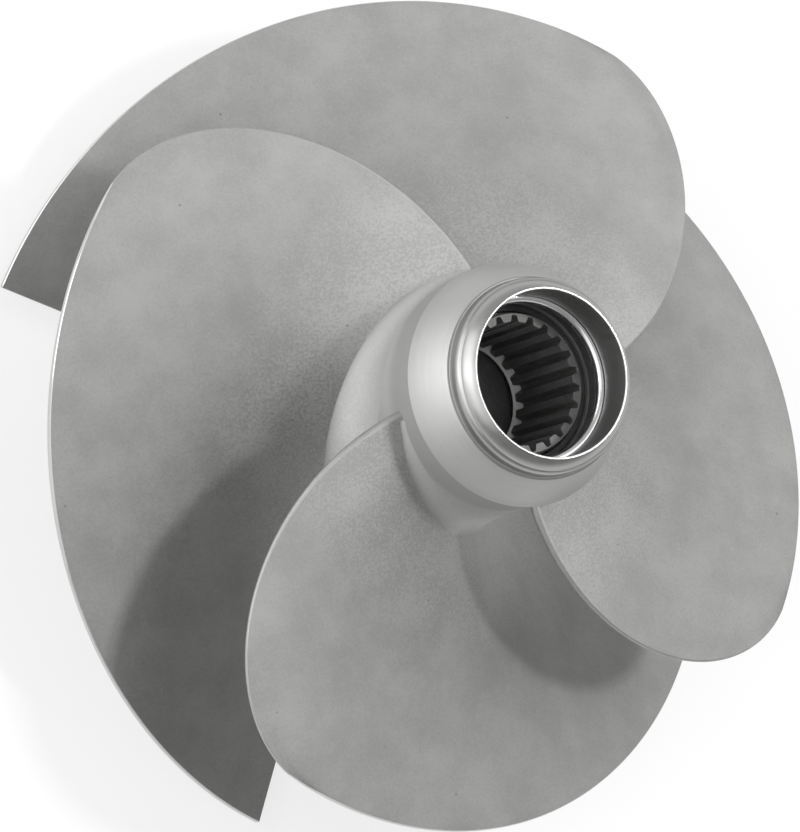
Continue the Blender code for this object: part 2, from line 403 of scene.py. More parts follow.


# Investment-cast stainless steel, bead blasted: an even grey satin, with painted light that makes it
# paler near the hub where the blades shade it, and a fine speckle that is drawn coarser than the
# beads leave it, so that it shows.
CAST = Finish("cast stainless steel, bead blasted", Slot.CAST, "#ababaa", "#9b9b9a",
              rough=(0.56, 0.66), cloud_mm=11.0, cloud_gain=1.3, grit_gain=1.3, relief_mm=0.03,
              pits=0.45, skin=2.4, scratches=0.02,
              fades=(Fade(Along.RADIUS, stretch_mm=(28.0, 50.0), gain=(1.20, 1.0)),))
# Root fillet dressed with a flap wheel: pale and even on the hub, partly from the dressing and partly
# as painted light, fading to the blade's tone on the blade; painted shade makes it darker up under
# the collar.
FILLET = Finish("dressed weld fillet", Slot.WELD, "#e8e8e7", "#dadad9",
                rough=(0.70, 0.80), cloud_mm=14.0, cloud_gain=0.7, grit_gain=1.1, relief_mm=0.02,
                skin=0.6,
                fades=(Fade(Along.RADIUS, stretch_mm=(22.9, 25.2), gain=(1.0, 0.68)),
                       Fade(Along.HEIGHT, stretch_mm=(40.0, 57.0), gain=(1.10, 0.70))))
# Hub between the blades, turned smooth before they went on: paler than the blasted blades, with
# painted shade that makes it darker right under the collar.
SMOOTH = Finish("smooth cast hub", Slot.CAST, "#cacac9", "#bcbcbb",
                rough=(0.70, 0.80), cloud_mm=18.0, grit_mm=0.6, grit_gain=0.5,
                fades=(Fade(Along.HEIGHT, stretch_mm=(55.0, 59.5), gain=(1.0, 0.80)),))
# Outer edge of the blades, turned to the bore of the housing: bright, with fine lathe rings. These
# and all lathe rings here are drawn coarser than a real tool leaves them, so that they show.
EDGE = Finish("turned blade edge", Slot.CAST, "#d2d2d1", "#c2c2c1",
              rough=(0.30, 0.38), cloud_mm=12.0, grit_mm=0.6, grit_gain=0.3, relief_mm=0.006,
              grain=Grain.TURNED, grain_mm=0.25)
# Rounded leading edge, rubbed by the water and its sand, and painted brighter as a highlight: a thin
# bright line along the blade.
WORN_EDGE_AND_HIGHLIGHT = Finish("worn leading edge, painted highlight", Slot.CAST, "#b6b6b5", "#a6a6a5",
              rough=(0.50, 0.60), cloud_mm=8.0)
# Turned stainless steel: fine lathe rings and a brighter, softly shining face.
TURNED = Finish("turned stainless steel", Slot.TURNED, "#c2c2c1", "#b6b6b5",
                rough=(0.50, 0.58), cloud_mm=16.0, grit_mm=0.6, grit_gain=0.4, relief_mm=0.006,
                grain=Grain.TURNED, grain_mm=0.30)
# Polished rim of the nose: the same steel buffed to a satin shine.
POLISHED = Finish("polished stainless rim", Slot.TURNED, "#acacab", "#a3a3a2",
                  rough=(0.29, 0.36), cloud_mm=10.0, grit_mm=0.8, grit_gain=0.2, relief_mm=0.001,
                  grain=Grain.TURNED, grain_mm=0.5)
# Bored socket wall: the same steel from a finer cut, paler and smoother than the barrel outside.
BORED = Finish("bored stainless socket", Slot.TURNED, "#d0d0cf", "#c0c0bf",
               rough=(0.34, 0.44), cloud_mm=8.0, grit_mm=0.8, grit_gain=0.5, relief_mm=0.006,
               grain=Grain.TURNED, grain_mm=0.5)
# Broached spline: grey steel with drawn marks along the teeth.
SPLINE = Finish("broached spline steel", Slot.SPLINE, "#929291", "#727271",
                rough=(0.62, 0.74), cloud_mm=5.0, grain=Grain.ALONG, grain_mm=0.35)
# Crests and lower ends of the spline teeth and wall of their boss: a painted highlight, brighter than
# the grey of the gaps, with painted shade that makes it duller deep in the bore.
SPLINE_HIGHLIGHT = Finish("spline crests painted bright", Slot.SPLINE, "#e0e0df", "#c4c4c3",
              rough=(0.34, 0.46), cloud_mm=4.0, grain=Grain.ALONG, grain_mm=0.35,
              fades=(Fade(Along.HEIGHT, stretch_mm=(45.0, 60.0), gain=(0.5, 1.0)),))
# Drawn spring wire: bright and nearly mirror smooth.
WIRE = Finish("drawn spring wire", Slot.SPRING, "#e2e2e2", "#cccccc",
              rough=(0.16, 0.24), cloud_mm=6.0, grit_gain=0.5, relief_mm=0.004)
# Steel insert, turned and tapped: greyer than the nose, with lathe rings.
INSERT = Finish("turned insert steel", Slot.INSERT, "#a8a8a7", "#8c8c8b",
                rough=(0.28, 0.40), cloud_mm=8.0, grit_mm=0.6, grit_gain=0.6, grain=Grain.TURNED)
# Moulded nitrile rubber: near black with a fine bloom.
RUBBER = Finish("moulded nitrile rubber", Slot.RUBBER, "#4a4a4b", "#353536",
                rough=(0.50, 0.70), cloud_mm=4.0, relief_mm=0.03, metallic=0.0)
# The puck at the shaft's end: the same rubber, paler grey.
PUCK = replace(RUBBER, name="paler nitrile rubber", light="#6c6c6d", dark="#555556")


def grid_faces(rows: int, columns: int, closed: bool) -> Array:
    """Quads of a grid of points stored row by row, the last column joined to the first.

    Args:
        rows: Number of rows.
        columns: Number of columns.
        closed: Join the last row to the first too.

    Returns:
        An array of point numbers, four to a face.
    """
    here = np.arange(rows if closed else rows - 1)[:, None] * columns
    after = (here + columns) % (rows * columns)
    j = np.arange(columns)[None, :]
    beyond = (j + 1) % columns
    corners = np.broadcast_arrays(here + j, here + beyond, after + beyond, after + j)
    return np.stack(corners, axis=-1).reshape(-1, 4)


def add_piece(name: str, points: Array, quads: Array, finish: Finish, node: str,
              body: str = ROTOR, caps: Sequence[Array] = ()) -> Piece:
    """Put one surface into the scene, smooth shaded between hard edges, and tie it to the frame.

    Args:
        name: The piece's name.
        points: Its points, in metres.
        quads: Its quads.
        finish: Its finish.
        node: The CAD node that it stands for.
        body: The body that it rides on.
        caps: Further faces of any number of points.

    Returns:
        The object.
    """
    mesh = bpy.data.meshes.new(name)
    faces = quads.tolist() + [list(map(int, cap)) for cap in caps]
    mesh.from_pydata(points.reshape(-1, 3).tolist(), [], faces)
    mesh.shade_smooth()
    mesh.set_sharp_from_angle(angle=SHARP_EDGE)
    mesh.materials.append(finish.material())
    piece = put_in_scene(name, mesh)
    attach(piece, body)
    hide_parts(node)
    log.info("piece %s: %d faces, %s", name, len(faces), finish.name)
    return piece


def dress(piece: Piece, choice: Array, *finishes: Finish) -> None:
    """Add further finishes to a piece and give each face one of them.

    Args:
        piece: The piece, which has its first finish already.
        choice: Number of each face's finish, 0 for the first one.
        finishes: The further finishes.
    """
    for finish in finishes:
        piece.data.materials.append(finish.material())
    piece.data.polygons.foreach_set("material_index", choice.astype(np.int32))


def face_places(piece: Piece) -> tuple[Array, Array]:
    """Where the faces of a piece lie.

    Args:
        piece: The piece.

    Returns:
        Distance from the shaft and height of the middle of each face.
    """
    middle = np.empty(3 * len(piece.data.polygons))
    piece.data.polygons.foreach_get("center", middle)
    x, y, z = middle.reshape(-1, 3).T
    return np.hypot(x, y), z


def around(radius: Array, angle: Array, height: Array) -> Array:
    """Points in space from radius, angle and height about the shaft."""
    return np.stack(np.broadcast_arrays(radius * np.cos(angle), radius * np.sin(angle), height),
                    axis=-1)


def smooth_step(value: Array) -> Array:
    """Ease from 0 to 1: x^2 (3 - 2 x) of the clipped value x."""
    x = np.clip(value, 0.0, 1.0)
    return x * x * (3.0 - 2.0 * x)


def turn_profile(name: str, profile: Outline, finish: Finish, node: str, body: str = ROTOR,
                 steps: int = 192) -> Piece:
    """Turn a closed outline about the shaft: point (r, z) at angle a goes to (r cos a, r sin a, z).

    Args:
        name: The piece's name.
        profile: Closed outline of (radius, height), up the outer side and down the inner one.
        finish: Its finish.
        node: The CAD node that it stands for.
        body: The body that it rides on.
        steps: Steps of the full turn.

    Returns:
        The object.
    """
    outline = np.asarray(profile, dtype=float)
    angle = np.linspace(0.0, FULL_TURN, steps, endpoint=False)[:, None]
    points = around(outline[None, :, 0], angle, outline[None, :, 1])
    quads = grid_faces(steps, len(outline), True)[:, ::-1]
    return add_piece(name, points, quads, finish, node, body)


def soften(corners: Outline, radius: float, steps: int) -> Outline:
    """Round every corner of a closed outline with a curve that cuts it off by a radius.

    The curve is the quadratic one from a point on the edge before the corner to a point on the
    edge after it, with the corner as its middle control point.

    Args:
        corners: The sharp outline.
        radius: How far from the corner the curve starts.
        steps: Steps of each curve.

    Returns:
        The rounded outline.
    """
    sharp = np.asarray(corners, dtype=float)
    before = np.roll(sharp, 1, axis=0) - sharp
    after = np.roll(sharp, -1, axis=0) - sharp
    long_before = np.linalg.norm(before, axis=1)[:, None]
    long_after = np.linalg.norm(after, axis=1)[:, None]
    start = sharp + before / long_before * np.minimum(radius, CORNER_SHARE * long_before)
    end = sharp + after / long_after * np.minimum(radius, CORNER_SHARE * long_after)
    t = np.linspace(0.0, 1.0, steps + 1)[None, :, None]
    curve = (1 - t) ** 2 * start[:, None] + 2 * t * (1 - t) * sharp[:, None] + t ** 2 * end[:, None]
    return [tuple(p) for p in curve.reshape(-1, 2)]


def arched(start: Pair, end: Pair, rise: float, steps: int) -> Outline:
    """Shallow arch: a straight run plus 4 rise t (1 - t) along its outward normal.

    Args:
        start: First point.
        end: Last point.
        rise: Height of the arch in its middle.
        steps: Steps between the points.

    Returns:
        The points.
    """
    first = np.asarray(start)
    run = np.asarray(end) - first
    out = np.array([run[1], -run[0]]) / np.linalg.norm(run)
    t = np.linspace(0.0, 1.0, steps + 1)[:, None]
    return [tuple(p) for p in first + run * t + out * 4.0 * rise * t * (1.0 - t)]


def beside(corner: Pair, offsets_mm: Sequence[Pair]) -> Outline:
    """Points some millimetres out and up from a corner of an outline."""
    return [(corner[0] + out * MM, corner[1] + up * MM) for out, up in offsets_mm]


@dataclass(frozen=True)
class Sizes:
    """Sizes shared by the sub-assemblies, in metres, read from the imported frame."""

    tip_r: float = CAD_BOX[1].x
    hub_r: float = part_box("hub_shell")[1].x
    bore_r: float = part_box("thread_insert")[1].x
    gap: float = 0.3 * MM
    z_lead: float = 59.4 * MM
    z_hub_top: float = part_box("hub_shell")[1].z
    z_top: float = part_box("nose_collar")[1].z
    z_spline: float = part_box("spline_sleeve")[1].z
    z_spline_end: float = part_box("spline_sleeve")[0].z
    z_chamber_end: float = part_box("shaft_bumper")[0].z
    rear_len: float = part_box("rear_ring")[1].z

    @property
    def root_r(self) -> float:
        """Radius at which the blades start."""
        return self.hub_r + self.gap

    @property
    def socket_r(self) -> float:
        """Outer radius of what sits in the bore."""
        return self.bore_r - self.gap


@dataclass
class Blade:
    """One blade with its two root fillets.

    It turns by wrap from the leading to the trailing edge at the root, and sweep is how far the
    leading edge has turned back at the tip. Run is the root's fall from edge to edge, an advance is
    a fall per radian, and a rake is a fall per distance outwards. Places are u across the span, 0 at
    the root and 1 at the tip, and w along the chord, 0 at the leading and 1 at the trailing edge.
    Where the fillets begin, climb and end is given in w.
    """

    sizes: Sizes
    number: int
    start: float
    wrap: float = math.radians(148.4)
    sweep: float = math.radians(50.5)
    sweep_shape: float = 1.336
    sweep_power: float = 0.752
    run: float = 55.7 * MM
    entry_advance: float = 6.15 * MM
    exit_advance: float = 31.8 * MM
    rake_entry: float = 0.18
    rake_exit: float = 0.0146
    root_thick: float = 4.2 * MM
    edge_thick: float = 1.3 * MM
    span_power: float = 1.2
    chord_power: float = 0.7
    lead_thick: float = 0.75 * MM
    lead_root: float = 1.25 * MM
    lead_run: float = 6.0 * MM
    edge_break: float = 0.15 * MM
    fillet_leg: float = 2.6 * MM
    fillet_end: float = 0.7 * MM
    fillet_reach: Pair = (0.025, 0.992)
    fillet_ramps: Pair = (0.22, 0.14)
    fillet_climb: float = 8.5 * MM
    climb_start: float = 0.16
    climb_share: float = 0.66
    fillet_flat: float = 0.1
    fillet_sunk: float = 0.012 * MM
    fillet_back: float = 0.5 * MM
    fillet_steps: int = 160
    fillet_arc_steps: int = 16
    chord_steps: int = 130
    chord_spread: float = 1.15
    nose_steps: int = 7
    span_steps: int = 70

    @property
    def span(self) -> float:
        """How far the blade stands out from its root."""
        return self.sizes.tip_r - self.sizes.root_r

    def lead_radius(self, u: Array) -> Array:
        """Radius of the leading edge: root plus span times sin(90 degrees u^shape)^power."""
        inner = np.clip(u, 0.0, 1.0) ** self.sweep_shape
        return self.sizes.root_r + self.span * np.sin(QUARTER_TURN * inner) ** self.sweep_power

    def lead_place(self, radius: Array) -> Array:
        """The reverse of lead_radius: the place u at which the leading edge has that radius."""
        share = np.clip((radius - self.sizes.root_r) / self.span, 0.0, 1.0) ** (1.0 / self.sweep_power)
        return (np.arcsin(share) / QUARTER_TURN) ** (1.0 / self.sweep_shape)

    def height(self, turn: Array, radius: Array) -> Array:
        """Middle surface: a cubic fall from entry to exit advance, less rake times radius.

        Args:
            turn: Angle from the root of the leading edge.
            radius: The radius.

        Returns:
            The height over the rear seat.
        """
        part = turn / self.wrap
        entry = self.entry_advance * self.wrap
        leave = self.exit_advance * self.wrap
        fall = entry * part + (3.0 * self.run - 2.0 * entry - leave) * part ** 2
        fall = fall + (entry + leave - 2.0 * self.run) * part ** 3
        return self.sizes.z_lead - fall - self.rake(turn) * (radius - self.sizes.root_r)

    def rake(self, turn: Array) -> Array:
        """Rake at an angle, going evenly from that of the entry to that of the exit."""
        return self.rake_entry + (self.rake_exit - self.rake_entry) * turn / self.wrap

    def lead_edge(self, u: Array) -> Array:
        """Thickness behind the leading edge's nose: thin at the tip, more by (1 - u)^3 at the root."""
        return self.lead_thick + self.lead_root * (1.0 - u) ** 3

    def chord(self, u: Array, radius: Array) -> Array:
        """Length round the shaft from the leading edge to the trailing edge."""
        return (self.wrap - self.sweep * u) * radius

    def thickness(self, u: Array, w: Array, radius: Array) -> Array:
        """Thickness of the blade, rounded to nothing at the leading edge.

        The body is the edge value plus the root surplus times (1 - u)^span_power times
        (4 w (1 - w))^chord_power. It passes into the leading edge's own thickness as
        exp(-(s / run)^2), s being the distance from the edge, and a half circle
        sqrt(1 - (1 - s / nose)^2) closes the nose.

        Args:
            u: Place across the span.
            w: Place along the chord.
            radius: The radius there.

        Returns:
            The thickness.
        """
        share = (1.0 - u) ** self.span_power
        share = share * np.clip(4.0 * w * (1.0 - w), 0.0, 1.0) ** self.chord_power
        body = self.edge_thick + (self.root_thick - self.edge_thick) * share
        lead = self.lead_edge(u)
        s = np.clip(w, 0.0, 1.0) * self.chord(u, radius)
        thick = body + (lead - body) * np.exp(-(s / self.lead_run) ** 2)
        nose = np.clip(1.0 - s / (0.5 * lead), 0.0, 1.0)
        return thick * np.sqrt(1.0 - nose ** 2)

    def surface(self, u: Array, w: Array, side: float, radius: Array,
                less: Array | float = 0.0) -> tuple[Array, Array, Array]:
        """A point of the blade: the middle surface pushed out by half the thickness.

        The push runs along the normal that stays on the cylinder of that radius.

        Args:
            u: Place across the span.
            w: Place along the chord.
            side: 1 on the intake face and -1 on the rear face.
            radius: The radius.
            less: Thickness taken off at a broken edge.

        Returns:
            Radius, angle and height.
        """
        turn = self.sweep * u + w * (self.wrap - self.sweep * u)
        step = 1e-4
        slope = (self.height(turn + step, radius) - self.height(turn - step, radius)) / (2.0 * step)
        length = np.hypot(radius, slope)
        tilt = np.sqrt(1.0 + (self.rake(turn) * radius / length) ** 2)
        thick = np.maximum(self.thickness(u, w, radius) - less, 0.0)
        push = 0.5 * side * thick * tilt
        angle = turn - push * slope / (length * radius) + self.start
        return radius, angle, self.height(turn, radius) + push * radius / length

    def build(self) -> None:
        """Make the blade and its fillets."""
        self._dress_edge(self._body())
        self._fillet(1.0, "front")
        self._fillet(-1.0, "rear")

    def _grid(self) -> tuple[Array, Array, Array, Array]:
        """Grid of the blade: rows across the span, columns from the leading to the trailing edge.

        The first columns stand at nose (1 - cos t) so that the round nose is smooth. The first row
        is sunk into the hub, and the last row and column are the broken edges.

        Returns:
            u, w, radius and the thickness taken off, all of one shape.
        """
        s = self.sizes
        full = float(self.lead_place(np.array(s.tip_r - self.edge_break)))
        u = np.concatenate([np.linspace(0.0, full, self.span_steps), [1.0]])[:, None]
        radius = self.lead_radius(u)
        radius[0] = s.hub_r - s.gap
        chord = self.chord(u, radius)
        nose = 0.5 * self.lead_edge(u) / chord
        turn = np.linspace(0.0, QUARTER_TURN, self.nose_steps + 1)[None, :]
        tail = 1.0 - self.edge_break / chord
        part = np.linspace(0.0, 1.0, self.chord_steps + 1)[None, 1:]
        body = nose + (tail - nose) * part ** self.chord_spread
        w = np.concatenate([nose * (1.0 - np.cos(turn)), body, np.ones_like(u)], axis=1)
        less = np.zeros_like(w)
        less[-1, :] = 2.0 * self.edge_break
        less[:, -1] = 2.0 * self.edge_break
        return u + 0.0 * w, w, radius + 0.0 * w, less

    def _body(self) -> Piece:
        """One section loop per row, from the trailing edge over the intake face to the leading edge
        and back along the rear face; strips close the tip and the root.

        Returns:
            The blade.
        """
        u, w, radius, less = self._grid()
        front = around(*self.surface(u, w, 1.0, radius, less))[:, ::-1]
        rear = around(*self.surface(u, w, -1.0, radius, less))[:, 1:]
        points = np.concatenate([front, rear], axis=1)
        rows, columns = points.shape[:2]
        half = w.shape[1]
        j = np.arange(half - 2)
        far = columns - 1 - j
        root = np.stack([j, far, far - 1, j + 1], axis=-1)
        last_row = (rows - 1) * columns
        quads = np.concatenate([grid_faces(rows, columns, False), root,
                                root[:, ::-1] + last_row])
        nose = np.array([half - 2, half, half - 1])
        return add_piece("impeller_blade_%d" % self.number, points, quads[:, ::-1], CAST,
                         "blade_%d" % self.number, caps=[nose[::-1], nose + last_row])

    def _dress_edge(self, blade: Piece) -> None:
        """Tip faces get the turned finish; round nose faces the worn one with its painted highlight.

        Args:
            blade: The blade.
        """
        radius, _ = face_places(blade)
        half = self.nose_steps + self.chord_steps + 2
        columns = 2 * half - 1
        face = np.arange(len(radius))
        from_nose = np.abs(face % columns + 0.5 - (half - 1))
        # The round nose is worn and also gets a painted highlight
        worn = (face < self.span_steps * columns) & (from_nose < self.nose_steps)
        outer = radius > self.sizes.tip_r - self.edge_break
        dress(blade, np.where(outer, 1, np.where(worn, 2, 0)), EDGE, WORN_EDGE_AND_HIGHLIGHT)

    def _fillet(self, side: float, where: str) -> None:
        """Concave strip between a blade face and the hub.

        Its section lies between a straight bevel and a quarter circle: height over the hub
        leg ((1 - flat) (1 - cos t) + flat p), reach from the blade foot ((1 - flat) (1 - sin t) +
        flat (1 - p)), t going over a quarter turn and p being its share of that. On the intake
        side the foot climbs up the hub by a sin^2 hump over the middle of the chord. A back edge
        inside the corner closes it.

        Args:
            side: 1 on the intake face, -1 on the rear face.
            where: Word for the name.
        """
        first, last = self.fillet_reach
        w = np.linspace(first, last, self.fillet_steps + 1)[:, None]
        grow, shrink = self.fillet_ramps
        swell = smooth_step(np.minimum((w - first) / grow, (last - w) / shrink))
        leg = self.fillet_end + (self.fillet_leg - self.fillet_end) * swell
        hump = np.sin(np.pi * np.clip((w - self.climb_start) / self.climb_share, 0.0, 1.0)) ** 2
        foot = leg + max(side, 0.0) * self.fillet_climb * hump
        zero = np.zeros_like(w)
        radius, angle, height = self.surface(zero, w, side, self.sizes.root_r + zero)
        along_angle = np.gradient(angle, axis=0)
        along_height = np.gradient(height, axis=0)
        length = np.hypot(radius * along_angle, along_height)
        out_angle = -side * along_height / (length * radius)
        out_height = side * radius * along_angle / length
        t = np.linspace(0.0, QUARTER_TURN, self.fillet_arc_steps + 1)[None, :]
        p = t / QUARTER_TURN
        flat = self.fillet_flat
        rise = (1.0 - flat) * (1.0 - np.cos(t)) + flat * p
        drop = (1.0 - flat) * (1.0 - np.sin(t)) + flat * (1.0 - p)
        level = self.sizes.hub_r - self.fillet_sunk + leg * rise
        u = self.lead_place(level)
        r, a, z = self.surface(u, w + 0.0 * u, side, level)
        reach = foot * drop - self.fillet_sunk
        front = around(r, a + reach * out_angle, z + reach * out_height)
        inside = self.fillet_back
        back = around(self.sizes.hub_r - inside + zero, angle - inside * out_angle,
                      height - inside * out_height)
        points = np.concatenate([front, back], axis=1)
        rows, columns = points.shape[:2]
        quads = grid_faces(rows, columns, False)
        caps = [np.arange(columns), (rows - 1) * columns + np.arange(columns)[::-1]]
        if side > 0.0:
            quads = quads[:, ::-1]
        else:
            caps = [cap[::-1] for cap in caps]
        add_piece("root_fillet_%d_%s" % (self.number, where), points, quads, FILLET,
                  "blade_%d_%s_weld" % (self.number, where), caps=caps)


@dataclass
class Hub:
    """Cast hub shell, rear ring, seal, threaded insert and bumper."""

    sizes: Sizes
    chamber_r: float = 13.3 * MM
    edge_round: float = 0.15 * MM
    edge_chamfer: float = 0.6 * MM
    pilot_r: float = 11.5 * MM
    seal_wire_r: float = 1.1 * MM
    insert_bore_r: float = 9.2 * MM
    thread_pitch: float = 1.5 * MM
    thread_depth: float = 0.85 * MM
    thread_flat: float = 0.125
    thread_fade: float = 1.2 * MM
    thread_sides: int = 96
    thread_steps: int = 8
    bumper_len: float = 6.0 * MM
    bumper_play: float = 0.4 * MM
    bumper_round: float = 0.9 * MM
    bumper_sides: int = 128
    dish_top_r: float = 8.0 * MM
    dish_floor_r: float = 7.0 * MM
    dish_depth: float = 0.8 * MM
    vent_r: float = 2.5 * MM

    @property
    def seal_r(self) -> float:
        """Radius of the rear seal's middle line."""
        return 0.5 * (self.sizes.hub_r + self.pilot_r)

    def build(self) -> None:
        """Make every piece of the hub."""
        self._shell()
        self._rear_ring()
        self._rear_seal()
        self._insert()
        self._bumper()

    def _shell(self) -> None:
        """Turned outline of the shell with soft edges; it reaches the collar and the rear ring."""
        s = self.sizes
        low = s.rear_len
        high = s.z_hub_top + s.gap
        seat = s.z_spline_end - s.gap
        outline = [(s.hub_r, low), (s.hub_r, high), (s.bore_r, high), (s.bore_r, seat),
                   (self.chamber_r, seat), (self.chamber_r, s.z_chamber_end),
                   (s.bore_r, s.z_chamber_end), (s.bore_r, low)]
        turn_profile("hub_barrel", soften(outline, self.edge_round, steps=2), SMOOTH, "hub_shell")

    def _rear_ring(self) -> None:
        """Rear seat ring with chamfers, pilot bore and the groove of the seal."""
        s = self.sizes
        edge = self.edge_chamfer
        half = self.seal_wire_r + s.gap
        outline = [(s.hub_r - edge, 0.0), (s.hub_r, edge), (s.hub_r, s.rear_len),
                   (self.pilot_r, s.rear_len), (self.pilot_r, edge), (self.pilot_r + edge, 0.0),
                   (self.seal_r - half, 0.0), (self.seal_r - half, 2.0 * half),
                   (self.seal_r + half, 2.0 * half), (self.seal_r + half, 0.0)]
        turn_profile("rear_seat_ring", soften(outline, self.edge_round, steps=3), TURNED, "rear_ring")

    def _rear_seal(self) -> None:
        """Round seal: a circle carried round the shaft."""
        angle = np.linspace(0.0, FULL_TURN, WIRE_SIDES, endpoint=False)
        radius = self.seal_r + self.seal_wire_r * np.cos(angle)
        height = self.seal_wire_r * (1.0 + np.sin(angle)) + self.sizes.gap
        turn_profile("rear_o_ring", list(zip(radius, height)), RUBBER, "rear_seal")

    def _insert(self) -> None:
        """Insert with a real thread: its bore radius is a wave of angle and height.

        The bore at angle a and height z has radius minor + depth times the triangle wave of
        z / pitch - a / one turn, clipped to flats. At both ends it fades out to the full depth.
        """
        s = self.sizes
        low = s.rear_len
        high = s.z_chamber_end - s.gap
        count = int((high - low) / self.thread_pitch * self.thread_steps)
        z = np.linspace(high, low, count + 1)
        angle = np.linspace(0.0, FULL_TURN, self.thread_sides, endpoint=False)[:, None]
        phase = z[None, :] / self.thread_pitch - angle / FULL_TURN
        wave = np.abs(2.0 * (phase - np.floor(phase + 0.5)))
        wave = np.clip((1.0 + 2.0 * self.thread_flat) * wave - self.thread_flat, 0.0, 1.0)
        fade = np.clip(np.minimum(z - low, high - z) / self.thread_fade, 0.0, 1.0)[None, :]
        bore = self.insert_bore_r + self.thread_depth * (1.0 - fade + fade * wave)
        outer = np.full((self.thread_sides, 1), s.bore_r)
        radius = np.concatenate([outer, outer, bore], axis=1)
        level = np.concatenate([[low, high], z])[None, :]
        quads = grid_faces(self.thread_sides, radius.shape[1], True)[:, ::-1]
        add_piece("threaded_insert", around(radius, angle, level), quads, INSERT, "thread_insert")

    def _bumper(self) -> None:
        """Rubber puck with rounded edges, a dished top and a vent hole, loose in its chamber."""
        low = self.sizes.z_chamber_end
        high = low + self.bumper_len
        floor = high - self.dish_depth
        radius = self.chamber_r - self.bumper_play
        outline = [(radius, low), (radius, high), (self.dish_top_r, high),
                   (self.dish_floor_r, floor), (self.vent_r, floor), (self.vent_r, low)]
        turn_profile("rubber_shaft_bumper", soften(outline, self.bumper_round, steps=5), PUCK,
                     "shaft_bumper", BUMPER, self.bumper_sides)


